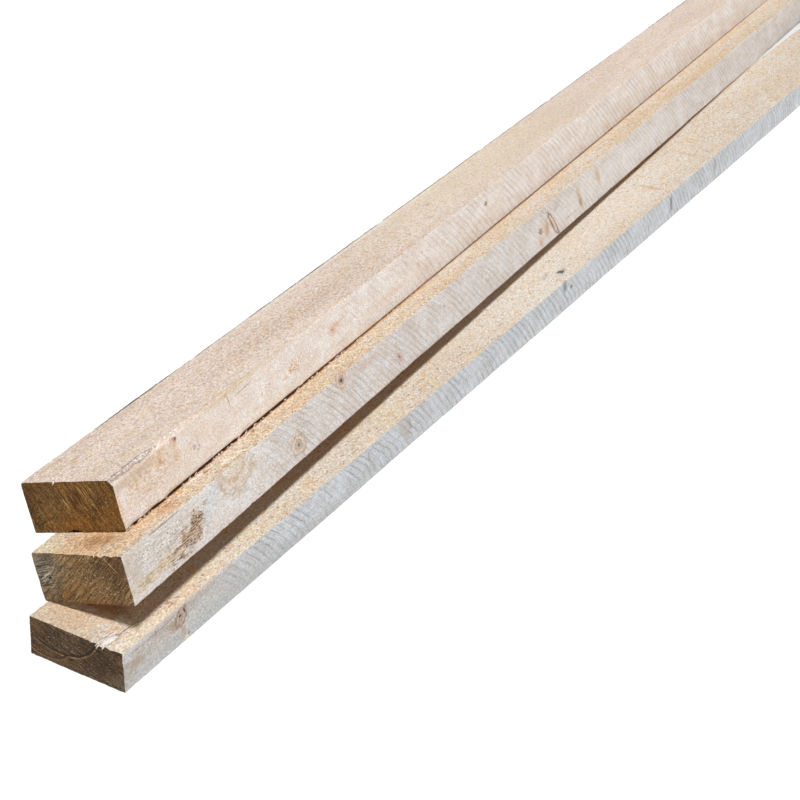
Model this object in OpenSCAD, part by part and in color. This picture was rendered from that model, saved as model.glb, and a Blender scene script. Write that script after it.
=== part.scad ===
// Three rough-sawn hardwood strips, stored one on another.
// The bottom strip lies flat on the floor. The other two lie face to face and swing
// to the left on their way back, so they rest along the bottom strip's top left
// arris, lean over it, and come down to the floor at their far left corner.
// +Y runs along the strips, +X across them and +Z up. The origin is in the middle
// of the stack's own box, on the floor.

/* [Stock] */
// Length of each strip
length = 1220; // [900:10:2440]

/* [Bottom strip] */
// Width of the bottom strip's top
bottom_w = 49; // [45:0.5:55]
// Thickness of the bottom strip
bottom_t = 23.5; // [20:0.5:28]
// How far the near end is cut out of square, seen from above
bottom_skew = 2; // [-5:0.5:5]
// How far the near end is cut out of square, seen from the side
bottom_bevel = -8; // [-10:0.5:10]
// How far the left face is sawn out of square, its foot standing out to the left
bottom_splay = 3.5; // [-5:0.5:5]

/* [Middle strip] */
// Width of the middle strip
middle_w = 52; // [45:0.5:55]
// Thickness of the middle strip
middle_t = 24; // [20:0.5:28]
// How far the near end is cut out of square, seen from above
middle_skew = -3.5; // [-5:0.5:5]
// How far the near end is cut out of square, seen from the side
middle_bevel = 1; // [-10:0.5:10]
// Angle between the middle strip and the bottom strip, seen from above
middle_swing = 3; // [2.5:0.1:6]
// Near left corner, measured to the right of the arris that it rests on
middle_side = -1.5; // [-10:0.5:0]
// How far the near end stands back from the bottom strip's
middle_back = 10; // [0:1:40]

/* [Top strip] */
// Width of the top strip's top
top_w = 51; // [45:0.5:55]
// Thickness of the top strip
top_t = 25; // [20:0.5:28]
// How far the near end is cut out of square, seen from above
top_skew = 0; // [-5:0.5:5]
// How far the near end is cut out of square, seen from the side
top_bevel = 1.5; // [-10:0.5:10]
// How far the left face is sawn out of square, its foot standing out to the left
top_splay = -1.5; // [-5:0.5:5]
// Angle between the top strip and the bottom strip, seen from above
top_swing = 3.8; // [2.5:0.1:6]
// Near left corner, measured to the right of the same arris
top_side = -15; // [-20:0.5:0]
// How far the near end stands back from the bottom strip's
top_back = 29; // [0:1:60]

/* [Wane] */
// Radius of the log whose round outside shows at the top strip's near right arris
log_r = 130; // [80:5:250]
// Depth of the wane at the near end, measured square into the arris
wane_depth = 1.9; // [0.5:0.1:4]
// Length over which the wane runs out
wane_length = 125; // [20:5:300]

/* [Open joint] */
// Height of the open joint under the top strip's right face, at the near end
joint_near = 1.1; // [0.2:0.1:2]
// Height of the same joint at the far end
joint_far = 0.3; // [0.1:0.1:2]
// Width of the underside that tapers up to the joint
joint_w = 9; // [3:0.5:20]

/* [Torn end] */
// Width of the hollow torn out under the top strip's near end
torn_w = 8; // [3:0.5:20]
// Height of the hollow at the end face
torn_h = 1.3; // [0.3:0.1:3]
// Length over which the hollow runs out
torn_length = 18; // [5:1:60]
// Distance of the hollow's middle from the strip's left face
torn_x = 23.5; // [10:0.5:40]

/* [Hidden] */
$fn = 96;

// The leaning pair turns about the bottom strip's top left arris until the middle
// strip's far left corner, this far to the left of the arris, meets the floor.
far_reach = length * sin(middle_swing) - middle_side;
lean = asin(bottom_t / far_reach);

// Room that every cutting block has beyond the timber
spare = 60;

// Placing: a point of a strip, measured from its own near bottom left corner
function swung(p, a) = [p.x * cos(a) - p.y * sin(a), p.x * sin(a) + p.y * cos(a), p.z];
function leant(p) = [p.x * cos(lean) - p.z * sin(lean), p.y, p.x * sin(lean) + p.z * cos(lean)];
function near_y(p, skew, bevel) = p.x * tan(skew) + p.z * tan(bevel) / cos(skew);
function bottom_point(p) = p;
function middle_point(p) =
    leant(swung(p, middle_swing) + [middle_side, middle_back, 0]) + [0, 0, bottom_t];
function top_point(p) =
    leant(swung(p, top_swing) + [top_side, top_back, middle_t]) + [0, 0, bottom_t];

// The outermost corners of the three strips, and the box that holds them
function corners(w, t, skew, bevel) =
    [for (x = [0, w], z = [0, t], far = [0, 1])
        [x, far == 1 ? length : near_y([x, 0, z], skew, bevel), z]];
all_corners = concat(
    [for (p = corners(bottom_w, bottom_t, bottom_skew, bottom_bevel)) bottom_point(p)],
    [for (p = corners(middle_w, middle_t, middle_skew, middle_bevel)) middle_point(p)],
    [for (p = corners(top_w, top_t, top_skew, top_bevel)) top_point(p)]
);
box_low = [for (i = [0:2]) min([for (p = all_corners) p[i]])];
box_high = [for (i = [0:2]) max([for (p = all_corners) p[i]])];
origin = [(box_low.x + box_high.x) / 2, (box_low.y + box_high.y) / 2, 0];

// A sawn bar from its near bottom left corner, with its near end cut out of square
// and its left face turned out of square about the top left arris
module sawn_bar(w, t, skew, bevel, splay = 0) {
    difference() {
        translate([-spare, -spare, 0]) cube([w + spare, length + spare, t]);
        translate([0, -2 * spare, t]) rotate([0, splay, 0])
            translate([-3 * spare, 0, -t - spare])
                cube([3 * spare, length + 4 * spare, t + 2 * spare]);
        rotate([-bevel, 0, skew]) translate([-spare, -2 * spare, -spare])
            cube([w + 2 * spare, 2 * spare, t + 2 * spare]);
    }
}

// What lies outside the log's round at a top right arris, which the saw never met.
// The log's side slopes to the strip, so the round runs out along the arris.
module outside_the_log(w, t) {
    slope = atan(wane_depth / wane_length);
    translate([w, 0, t]) rotate([0, 45, 0]) rotate([slope, 0, 0])
        difference() {
            translate([-log_r / 4, -spare, -log_r / 4])
                cube([log_r / 2, 2 * spare + wane_length, log_r / 2]);
            translate([0, -2 * spare, -log_r - wane_depth]) rotate([-90, 0, 0])
                cylinder(r = log_r, h = 4 * spare + wane_length);
        }
}

// The taper under a strip's right face, which leaves the joint below it open.
// Its height changes from one end to the other.
module joint_taper(w) {
    fall = atan((joint_near - joint_far) / length);
    translate([w, 0, joint_near]) rotate([-fall, 0, 0])
        rotate([0, -atan(joint_near / joint_w), 0])
            translate([-2 * joint_w, -spare, -spare])
                cube([2 * joint_w + spare, length + 2 * spare, spare]);
}

// A round hollow torn out under the near end, deepest at the end face
module torn_hollow() {
    r = (torn_w * torn_w / 4 + torn_h * torn_h) / (2 * torn_h);
    translate([torn_x, 0, torn_h - r]) rotate([-90 - atan(torn_h / torn_length), 0, 0])
        translate([0, 0, -torn_w]) cylinder(r = r, h = torn_w + 2 * torn_length);
}

module leaning() {
    translate([0, 0, bottom_t]) rotate([0, -lean, 0]) children();
}

module bottom_strip() {
    color("tan") translate(-origin)
        sawn_bar(bottom_w, bottom_t, bottom_skew, bottom_bevel, bottom_splay);
}

module middle_strip() {
    color("burlywood") translate(-origin) leaning()
        translate([middle_side, middle_back, 0]) rotate([0, 0, middle_swing])
            sawn_bar(middle_w, middle_t, middle_skew, middle_bevel);
}

module top_strip() {
    color("wheat") translate(-origin) leaning()
        translate([top_side, top_back, middle_t]) rotate([0, 0, top_swing])
            difference() {
                sawn_bar(top_w, top_t, top_skew, top_bevel, top_splay);
                outside_the_log(top_w, top_t);
                joint_taper(top_w);
                torn_hollow();
            }
}

bottom_strip();
middle_strip();
top_strip();
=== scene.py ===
"""The looks of three rough-sawn hardwood strips, built around their CAD frame."""

import math

import bpy
import numpy as np
from mathutils import Matrix, Vector
from mathutils.bvhtree import BVHTree


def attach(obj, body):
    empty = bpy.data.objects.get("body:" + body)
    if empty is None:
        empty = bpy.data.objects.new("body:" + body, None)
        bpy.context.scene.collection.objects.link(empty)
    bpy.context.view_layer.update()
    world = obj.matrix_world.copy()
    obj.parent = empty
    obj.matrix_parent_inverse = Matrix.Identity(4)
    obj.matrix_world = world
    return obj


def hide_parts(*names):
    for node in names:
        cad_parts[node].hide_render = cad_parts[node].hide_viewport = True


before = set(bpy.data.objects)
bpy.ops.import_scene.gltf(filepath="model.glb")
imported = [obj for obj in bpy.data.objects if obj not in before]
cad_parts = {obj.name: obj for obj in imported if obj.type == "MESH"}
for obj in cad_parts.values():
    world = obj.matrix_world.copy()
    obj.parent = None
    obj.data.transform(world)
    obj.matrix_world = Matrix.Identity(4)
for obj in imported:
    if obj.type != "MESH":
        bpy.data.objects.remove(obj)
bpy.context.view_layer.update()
MM = 0.001  # the frame is in metres, and the strips' sizes below are in millimetres


# ---- noise in numpy

LATTICE_SHIFT = 100000  # keeps the lattice numbers above zero


def hashed(i, j, k, seed):
    """A number from 0 to 1 for each lattice point, the same on every run."""
    u = np.uint64
    n = i * u(73856093) ^ j * u(19349663) ^ k * u(83492791)
    n = (n + u(seed * 40503 + 1)) * u(0x9E3779B97F4A7C15)
    n = (n ^ (n >> u(29))) * u(0xBF58476D1CE4E5B9)
    return ((n ^ (n >> u(32))) & u(0xFFFFFF)) / float(0xFFFFFF)


def noise(points, cell, seed=0):
    """Smooth value noise from -1 to 1, with a feature size of cell along x, y and z."""
    q = points / np.asarray(cell, float)
    low = np.floor(q)
    f = q - low
    f = f * f * (3 - 2 * f)
    low = (low + LATTICE_SHIFT).astype(np.uint64)
    total = 0
    for corner in range(8):
        bit = [corner & 1, corner >> 1 & 1, corner >> 2 & 1]
        weight = np.prod([f[:, a] if bit[a] else 1 - f[:, a] for a in range(3)], axis=0)
        total = total + weight * hashed(*[low[:, a] + np.uint64(bit[a]) for a in range(3)], seed)
    return total * 2 - 1


def smooth(x, low, high):
    """0 below low, 1 above high and smooth between; high may be below low."""
    t = np.clip((x - low) / (high - low), 0, 1)
    return t * t * (3 - 2 * t)


# ---- a strip's own frame

class Strip:
    """A strip's frame, read from its CAD mesh: x across it, y along it, z out of its top.
    The zero point is at its near end, on the bottom, straight under the top left arris."""

    def __init__(self, node):
        mesh = node.data
        mesh.calc_loop_triangles()
        tris = [tuple(t.vertices) for t in mesh.loop_triangles]
        self.world = np.array([v.co for v in mesh.vertices], float) / MM
        corner = self.world[np.array(tris)]
        cross = np.cross(corner[:, 1] - corner[:, 0], corner[:, 2] - corner[:, 0])
        self.area = np.linalg.norm(cross, axis=1)
        self.normal = cross / self.area[:, None]
        up, across = self.widest((0, 0, 1)), self.widest((1, 0, 0))
        along = np.cross(up, across)
        near, far = self.widest(-along), self.widest(along)
        high = self.world @ up
        self.thick = np.ptp(high)
        left = (self.world[high > high.max() - 0.01] @ across).min()
        self.wide = (self.world @ across).max() - left
        planes = np.array([across, near, up])
        offsets = [left, (self.world @ near).max(), high.min()]
        self.origin = np.linalg.solve(planes, offsets)
        self.axes = np.array([across, along, up])
        self.near = -np.array([near @ across, near @ up]) / (near @ along)
        self.far = -np.array([far @ across, far @ up]) / (far @ along)
        self.length = ((self.world @ far).max() - far @ self.origin) / (far @ along)
        local = (self.world - self.origin) @ self.axes.T
        self.skin = BVHTree.FromPolygons([tuple(p) for p in local], tris)

    def widest(self, way):
        """The normal of the widest flat face that looks that way."""
        facing = self.normal @ np.array(way, float) > 0.8
        _, index = np.unique(self.normal[facing].round(3), axis=0, return_inverse=True)
        index = index.ravel()
        best = np.argmax(np.bincount(index, self.area[facing]))
        mean = self.normal[facing][index == best].mean(0)
        return mean / np.linalg.norm(mean)

    def near_y(self, x, z):
        return self.near[0] * x + self.near[1] * z

    def far_y(self, x, z):
        return self.length + self.far[0] * x + self.far[1] * z

    def matrix(self):
        """From the strip's millimetres-to-metres frame to the row frame."""
        m = Matrix(self.axes.T.tolist()).to_4x4()
        m.translation = Vector(self.origin * MM)
        return m


# ---- the sawn mesh

EDGE = np.array([0, 0.35, 0.9, 1.7, 2.8])  # stops crowded at an arris
FACE_PITCH = 1.12  # between stops on the faces
NEAR_PITCH = 1.2   # between rings over the near part
FAR_PITCH = 4.2    # between rings at the far end
FINE_LENGTH = 210  # length of the near part
CORE = 8           # depth under the skin from which points are pushed in and out
OUTSIDE = 3        # how far outside the squared section the skin is looked for
RAY_INSET = 0.05   # how far inside the cut ends it is looked for
WEAR = 0.12        # how far the arrises are rubbed down
FIBRE_REACH = 420  # how far from the near end torn fibres stand off the arrises
JOINT_REACH = 330  # how far from it they hang over the open joint


def stops(size):
    """Places across a face: crowded at both arrises and even in between."""
    inner = np.linspace(EDGE[-1], size - EDGE[-1], round((size - 2 * EDGE[-1]) / FACE_PITCH) + 1)
    return np.concatenate([EDGE[:-1], inner, size - EDGE[-2::-1]])


def stations(length):
    """Distances of the rings from the near end: fine at the near part, coarser beyond."""
    s = list(EDGE)
    while s[-1] < length - EDGE[-1] - FAR_PITCH:
        share = smooth(s[-1], FINE_LENGTH, length)
        s.append(s[-1] + NEAR_PITCH + (FAR_PITCH - NEAR_PITCH) * share)
    return np.array(s + list(length - EDGE[::-1]))


def sawn_mesh(strip, spec):
    """A closed skin of quads on the CAD strip, pushed in and out by its relief (mm).
    Returns points in the strip's frame, faces, which faces are cut ends, and how much each
    point is on a side face and in a hollow, with a spare third number."""
    xs, zs, ys = stops(strip.wide), stops(strip.thick), stations(strip.length)
    nx, nz, rings = len(xs) - 1, len(zs) - 1, len(ys)
    loop = [(i, 0) for i in range(nx)] + [(nx, k) for k in range(nz)]
    loop += [(i, nz) for i in range(nx, 0, -1)] + [(0, k) for k in range(nz, 0, -1)]
    around = len(loop)
    inner = [(i, k) for i in range(1, nx) for k in range(1, nz)]
    grid = np.array(loop * rings + inner * 2)
    x, z = xs[grid[:, 0]], zs[grid[:, 1]]
    s = np.concatenate([np.repeat(ys, around), np.full(len(inner), 0.0),
                        np.full(len(inner), strip.length)])
    share = s / strip.length
    y = strip.near_y(x, z) * (1 - share) + strip.far_y(x, z) * share

    # every point has a heart point inside, and moves on the line through both
    hx, hz = np.clip(x, CORE, strip.wide - CORE), np.clip(z, CORE, strip.thick - CORE)
    d = np.stack([x - hx, z - hz], 1)
    reach = np.linalg.norm(d, axis=1)
    moving = reach > 1e-6
    way = np.where(moving[:, None], d / np.maximum(reach, 1e-6)[:, None], 0)
    skin_reach = CORE / np.maximum(np.abs(way).max(1), 1e-6)
    bx, bz = hx + way[:, 0] * skin_reach, hz + way[:, 1] * skin_reach
    bx, bz = np.clip(bx, 0, strip.wide), np.clip(bz, 0, strip.thick)
    found = skin_reach.copy()
    sx, sz = bx + OUTSIDE * way[:, 0], bz + OUTSIDE * way[:, 1]
    ray_y = np.clip(y, np.maximum(strip.near_y(hx, hz), strip.near_y(sx, sz)) + RAY_INSET,
                    np.minimum(strip.far_y(hx, hz), strip.far_y(sx, sz)) - RAY_INSET)
    for i in np.flatnonzero(moving):
        hit = strip.skin.ray_cast(Vector((sx[i], ray_y[i], sz[i])),
                                  Vector((-way[i, 0], 0, -way[i, 1])), 2 * CORE)
        if hit[0] is not None:
            found[i] = math.hypot(hit[0].x - hx[i], hit[0].z - hz[i])
    skin_point = np.stack([bx, y, bz], 1)
    lost = skin_reach - found
    push = relief(strip, spec, skin_point, lost)
    scale = np.where(moving, (found + push) / skin_reach, 1)
    px, pz = hx + d[:, 0] * scale, hz + d[:, 1] * scale
    py = y + end_relief(strip, spec, px, pz, s)

    faces = []
    for j in range(rings - 1):
        a = np.arange(around) + j * around
        b = np.roll(np.arange(around), -1) + j * around
        faces.append(np.stack([b, a, a + around, b + around], 1))
    number = {c: n for n, c in enumerate(loop)}
    for cap in (0, 1):
        index = {c: number[c] + cap * (rings - 1) * around for c in number}
        first = rings * around + cap * len(inner)
        index.update({c: first + n for n, c in enumerate(inner)})
        quads = [(index[i, k], index[i + 1, k], index[i + 1, k + 1], index[i, k + 1])
                 for i in range(nx) for k in range(nz)]
        faces.append(np.array(quads)[:, ::-1] if cap else np.array(quads))

    side = smooth(np.maximum(strip.wide / 2 - np.abs(bx - strip.wide / 2), 0), 0.5, 0)
    side *= (bz > 0.01) & (bz < strip.thick - 0.01) | (np.abs(way[:, 0]) > np.abs(way[:, 1]))
    hollow = smooth(lost, 0.02, 0.35) * (bz < 0.01) * (bx > strip.wide / 4)
    is_end = np.arange(sum(map(len, faces))) >= (rings - 1) * around
    skin = np.stack([side, hollow, 0 * side], 1)
    return np.stack([px, py, pz], 1), np.concatenate(faces), is_end, skin


def sliver(path, widths, thick, up=(0, 0, 1)):
    """A thin closed splinter of wood along a path (mm), with its half width at each point."""
    path, up = np.array(path, float), np.array(up, float)
    points = []
    for n, (at, half) in enumerate(zip(path, widths)):
        way = path[min(n + 1, len(path) - 1)] - path[max(n - 1, 0)]
        across = np.cross(way, up)
        across *= half / max(np.linalg.norm(across), 1e-6)
        lift = up * thick / 2
        points += [at - across - lift, at + across - lift, at + across + lift, at - across + lift]
    faces = [[4 * n + k, 4 * n + (k + 1) % 4, 4 * n + 4 + (k + 1) % 4, 4 * n + 4 + k]
             for n in range(len(path) - 1) for k in range(4)]
    last = 4 * (len(path) - 1)
    faces += [[3, 2, 1, 0], [last, last + 1, last + 2, last + 3]]
    return np.array(points), np.array(faces)


def fibres(strip, seed, count, low):
    """Torn fibres standing off the arrises and the near end, where the saw left them.
    low is the share of them at the lower arrises."""
    draw = np.random.default_rng(seed)
    made = []
    for _ in range(count):
        right, upper = draw.random() < 0.7, draw.random() >= low
        x, z = strip.wide * right, strip.thick * upper
        out = np.array([1 if right else -1, 0, 1 if upper else -1]) * draw.uniform(0, 1, 3)
        if draw.random() < 0.4:
            x = draw.uniform(0, strip.wide)
            start = np.array([x, strip.near_y(x, z) + 0.3, z])
            way = np.array([draw.normal(0, 0.5), -1.0, out[2] * 0.3])
            length = draw.uniform(0.3, 0.9)
        else:
            y = FIBRE_REACH * draw.random() ** 1.5
            start = np.array([x, y + strip.near_y(x, z) + 1, z]) - 0.15 * out
            way = np.array([out[0] * 0.3, draw.choice([-1.0, 1.0]), out[2] * 0.3])
            length = draw.uniform(0.8, 2.4)
        way /= np.linalg.norm(way)
        curl = draw.normal(0, 0.12, 3) * length
        path = [start, start + way * length * 0.5 + curl * 0.4, start + way * length + curl]
        half = draw.uniform(0.06, 0.13)
        made.append(sliver(path, (half, half * 0.8, half * 0.15), 0.12))
    return made


def joint_fibres(strip, seed, count):
    """Torn fibres that hang from the lower right arris over an open joint."""
    draw = np.random.default_rng(seed + 100)
    made = []
    for _ in range(count):
        y = JOINT_REACH * draw.random() ** 1.4
        start = np.array([strip.wide - 0.1, y + strip.near_y(strip.wide, 0) + 1, 0.15])
        way = np.array([draw.uniform(0, 0.1), draw.choice([-1.0, 1.0]), -draw.uniform(0.1, 0.35)])
        length = draw.uniform(1.2, 4.0)
        path = [start, start + way * length * 0.5, start + way * length]
        half = draw.uniform(0.2, 0.65)
        made.append(sliver(path, (half, half * 0.8, half * 0.2), 0.15, (1, 0, 0)))
    return made


# ---- relief

def arc_phase(saw, y, z):
    """Which tooth mark a point lies on: the marks are arcs of the saw's round."""
    drop = np.sqrt(np.maximum(saw["radius"] ** 2 - (z + saw["below"]) ** 2, 0))
    return (y - drop) / saw["pitch"]


def relief(strip, spec, p, lost):
    """The wear, saw marks and fuzz of one strip at points p on its skin. lost is how far the CAD
    skin lies inside the squared section there."""
    seed, saw = spec["seed"], spec["saw"]
    x, y, z = p.T
    gaps = np.sort(np.stack([x, strip.wide - x, z, strip.thick - z], 1), axis=1)
    edge = gaps[:, 1]                      # distance from the nearest arris
    on_side = smooth(np.minimum(x, strip.wide - x), 0.6, 0.1)
    push = 0.16 * noise(p, (40, 90, 40), seed)
    push += 0.07 * noise(p, (5, 22, 5), seed + 1)
    push += 0.06 * (1 - 0.6 * on_side) * noise(p, (1.6, 2.6, 1.6), seed + 2)
    wobble = 0.25 * noise(p, (30, 40, 9), seed + 3)
    tooth = np.abs((arc_phase(saw, y, z) + wobble) % 1 - 0.5) * 2
    strength = 0.6 + 0.4 * noise(p, (60, 25, 30), seed + 4)
    push -= saw["depth"] * on_side * strength * smooth(y, *saw["starts"]) * tooth ** 4
    wear = WEAR * (1 + 0.9 * noise(p, (9, 14, 9), seed + 5))
    wear += 0.25 * np.maximum(noise(p, (3, 2.2, 3), seed + 6) - 0.2, 0)
    push -= np.where(lost > 0.05, 0, wear) * smooth(edge, 1.2, 0)
    chips = np.maximum(noise(p, (3, 3.4, 3), seed + 7) - 0.5, 0)
    push -= 1.1 * chips * smooth(edge, 1.6, 0.1)
    for place, radius, depth in spec["dents"]:
        push -= depth * smooth(np.linalg.norm(p - np.array(place), axis=1), radius, 0)
    return push


def end_relief(strip, spec, x, z, s):
    """The cross-cut ends at distance s from the near one: rough, and torn at the arrises."""
    seed = spec["seed"] + 50
    at_near = s < strip.length / 2
    depth = np.where(at_near, s, strip.length - s)
    p = np.stack([x, np.where(at_near, 0.0, 500.0), z], 1)
    rough = 0.12 * noise(p, (6, 1, 6), seed) + 0.10 * noise(p, (1.3, 1, 1.3), seed + 1)
    edge = np.minimum(np.minimum(x, strip.wide - x), np.minimum(z, strip.thick - z))
    torn = np.maximum(noise(p, (2.4, 1, 2.4), seed + 2) - 0.25, 0) * smooth(edge, 1.4, 0)
    inward = (rough + 0.3 * torn + 0.08 * smooth(edge, 0.6, 0)) * smooth(depth, 4, 0)
    return np.where(at_near, inward, -inward)


# ---- shader helper

def rgb(r, g, b):
    """An sRGB colour, 0 to 255, as the linear colour that a shader takes."""
    return tuple(c / 12.92 if c <= 0.04045 else ((c + 0.055) / 1.055) ** 2.4
                 for c in (r / 255, g / 255, b / 255)) + (1.0,)


def palette(**colours):
    """Several such colours by name."""
    return {name: rgb(*colour) for name, colour in colours.items()}


class Graph:
    """Short names for the shader nodes used here. Arguments are sockets or plain values."""

    def __init__(self, owner):
        owner.use_nodes = True
        self.tree = owner.node_tree
        self.tree.nodes.clear()

    def node(self, kind, inputs=None, **settings):
        node = self.tree.nodes.new("ShaderNode" + kind)
        for name, value in settings.items():
            setattr(node, name, value)
        for key, value in (inputs or {}).items():
            self.put(node.inputs[key], value)
        return node

    def add(self, kind, inputs=None, **settings):
        """A new node's first output."""
        return self.node(kind, inputs, **settings).outputs[0]

    def put(self, socket, value):
        if isinstance(value, bpy.types.NodeSocket):
            self.tree.links.new(value, socket)
        elif value is not None:
            socket.default_value = value

    def math(self, operation, a, b=None, clamp=False):
        return self.add("Math", {0: a, 1: b}, operation=operation, use_clamp=clamp)

    def times(self, a, b):
        return self.math("MULTIPLY", a, b)

    def plus(self, a, b):
        return self.math("ADD", a, b)

    def vector(self, operation, a, b=None):
        node = self.node("VectorMath", {0: a, 1: b}, operation=operation)
        return node.outputs[1 if operation in ("LENGTH", "DOT_PRODUCT") else 0]

    def split(self, vector):
        return self.node("SeparateXYZ", {0: vector}).outputs

    def join(self, x, y, z):
        return self.add("CombineXYZ", {0: x, 1: y, 2: z})

    def ramp(self, value, low, high, to_low=0.0, to_high=1.0):
        return self.add("MapRange", {0: value, 1: low, 2: high, 3: to_low, 4: to_high},
                        interpolation_type="SMOOTHSTEP")

    def noise(self, place, cell, detail=3.0, rough=0.55, shift=0.0):
        """Noise from about 0.2 to 0.8 with features about cell (mm) in size."""
        scaled = self.add("Mapping", {0: place, 1: (shift,) * 3, 3: tuple(1 / c for c in cell)})
        return self.add("TexNoise", {"Vector": scaled, "Scale": 1.0, "Detail": detail,
                                     "Roughness": rough})

    def mix(self, share, a, b):
        return self.node("Mix", {0: share, 6: a, 7: b}, data_type="RGBA").outputs[2]

    def tint(self, colour, look, *steps):
        """Lays each step's colour over it, with a share, where a pattern goes from low to high."""
        for pattern, low, high, share, name in steps:
            colour = self.mix(self.times(self.ramp(pattern, low, high), share), colour, look[name])
        return colour


# ---- marks on the timber

MARK_DEPTH = 3.0    # how far under a face its marks reach
END_DEPTH = 1000.0  # marks on the near end reach far, as its own material keeps them to it


def spot(at, size, colour, share=0.6, ragged=0.8, soft=0.9, turn=0, through=None, ring=None,
         until=None, bow=None):
    """A mark placed on the right side, the top or the near end of a strip.
    at is (y, depth below the top) on the side, (y, x) on the top and (x, z) on the end;
    size is its half length and half width; turn tilts it, in degrees; ring makes it an outline;
    until ends it at that distance from the left face; bow is how far round it the grain bends."""
    return dict(at=at, size=size, colour=rgb(*colour), share=share, ragged=ragged, soft=soft,
                turn=turn, through=through, ring=ring, until=until, bow=bow)


def knot(at, core, halo, colour, tint, share, turn=0):
    """A knot: a tinted halo with a pale and a dark outline, and a dark ragged heart."""
    pale = tuple(c + (245 - c) * 0.6 for c in tint)
    heart = tuple(c * 0.7 for c in colour)
    return [spot(at, (size * long, size * short), part_colour, share * part, ragged, soft, turn,
                 ring=ring, bow=bow)
            for size, long, short, part_colour, part, ragged, soft, ring, bow in (
                (halo, 1.5, 1.1, tint, 0.45, 0.9, 0.9, None, halo * 1.5),
                (halo, 0.95, 0.66, tint, 0.6, 0.8, 0.8, 0.2, None),
                (halo, 0.7, 0.52, pale, 0.6, 0.9, 0.8, 0.25, None),
                (halo, 0.46, 0.36, tint, 0.7, 0.9, 0.8, 0.35, None),
                (core, 1.6, 1.3, colour, 0.65, 1.3, 0.8, None, None),
                (core, 0.8, 0.6, heart, 0.9, 0.9, 0.7, None, None))]


def mark_frame(strip, face, mark):
    """Centre, half sizes and turn of a mark's ellipsoid in the strip's frame."""
    (u, v), (long, short), turn = mark["at"], mark["size"], math.radians(mark["turn"])
    if face == "side":
        return (strip.wide, u, strip.thick - v), (MARK_DEPTH, long, short), (turn, 0, 0)
    if face == "top":
        return (v, u, strip.thick), (short, long, MARK_DEPTH), (0, 0, turn)
    return (u, strip.near_y(u, v), v), (long, END_DEPTH, short), (0, -turn, 0)


def marks_on(strip, spec, *faces):
    """The marks of those faces, each with its frame."""
    return [(mark, *mark_frame(strip, face, mark)) for face in faces
            for mark in spec["marks"][face]]


# ---- timber materials

SEED_STEP = 7.3  # how far apart the strips take their noise


def new_timber(name):
    """A new material, its graph, and the place on the strip in millimetres."""
    material = bpy.data.materials.new(name)
    g = Graph(material)
    place = g.add("Mapping", {0: g.node("TexCoord").outputs["Object"], 3: (1 / MM,) * 3})
    return material, g, place


def growth(g, place, spec, seed):
    """Growth rings round the pith, with the distance from it and the angle round it."""
    x, y, z = g.split(place)
    bend = g.plus(g.noise(place, (14, 90, 14), 2, shift=seed + 31), -0.5)
    rx, rz = g.plus(x, -spec["pith"][0]), g.plus(z, -spec["pith"][1])
    reach = g.math("SQRT", g.plus(g.times(rx, rx), g.times(rz, rz)))
    reach = g.plus(reach, g.times(bend, 7))
    angle = g.times(g.math("ARCTAN2", rz, rx), 40)
    rings = g.noise(g.join(reach, g.times(y, 0.012), g.times(angle, 0.06)), (0.75, 1, 1), 3, 0.65,
                    shift=seed)
    return rings, reach, angle


def bowed(g, place, marks):
    """The place, pulled in round each knot so that the grain bows past it."""
    flow = place
    for mark, centre, _, _ in marks:
        if mark["bow"]:
            away = g.vector("SUBTRACT", place, centre)
            near = g.math("EXPONENT", g.times(g.vector("DOT_PRODUCT", away, away),
                                              -1 / mark["bow"] ** 2))
            pull = g.add("VectorMath", {0: away, "Scale": g.times(near, -0.8)}, operation="SCALE")
            flow = g.vector("ADD", flow, pull)
    return flow


def add_marks(g, colour, place, marks, patterns, torn):
    """The listed marks, one over the other."""
    for mark, centre, half, turn in marks:
        local = g.add("Mapping", {0: place, 1: centre, 2: turn, 3: half}, vector_type="TEXTURE")
        away = g.vector("LENGTH", local)
        if mark["ragged"]:
            away = g.plus(away, g.times(g.plus(torn, -0.5), mark["ragged"] * 2))
        if mark["ring"]:
            away = g.math("DIVIDE", g.math("ABSOLUTE", g.plus(away, -1)), mark["ring"])
        share = g.times(g.ramp(away, 1.0, 1.0 - mark["soft"]), mark["share"])
        if mark["through"]:
            share = g.times(share, patterns[mark["through"]])
        if mark["until"]:
            x = g.split(place)[0]
            share = g.times(share, g.ramp(x, mark["until"] + 0.8, mark["until"] - 0.8))
        colour = g.mix(share, colour, mark["colour"])
    return colour


def bare_wood(g, colour, shade, height):
    """Rough bare wood of that colour and shade, with that relief (mm)."""
    shaded = g.add("VectorMath", {0: colour, "Scale": shade}, operation="SCALE")
    bump = g.add("Bump", {"Strength": 1.0, "Distance": MM, "Height": height})
    shader = g.add("BsdfPrincipled", {"Base Color": shaded, "Normal": bump, "Roughness": 0.85,
                                      "Specular IOR Level": 0.25})
    g.node("OutputMaterial", {"Surface": shader})


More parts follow.
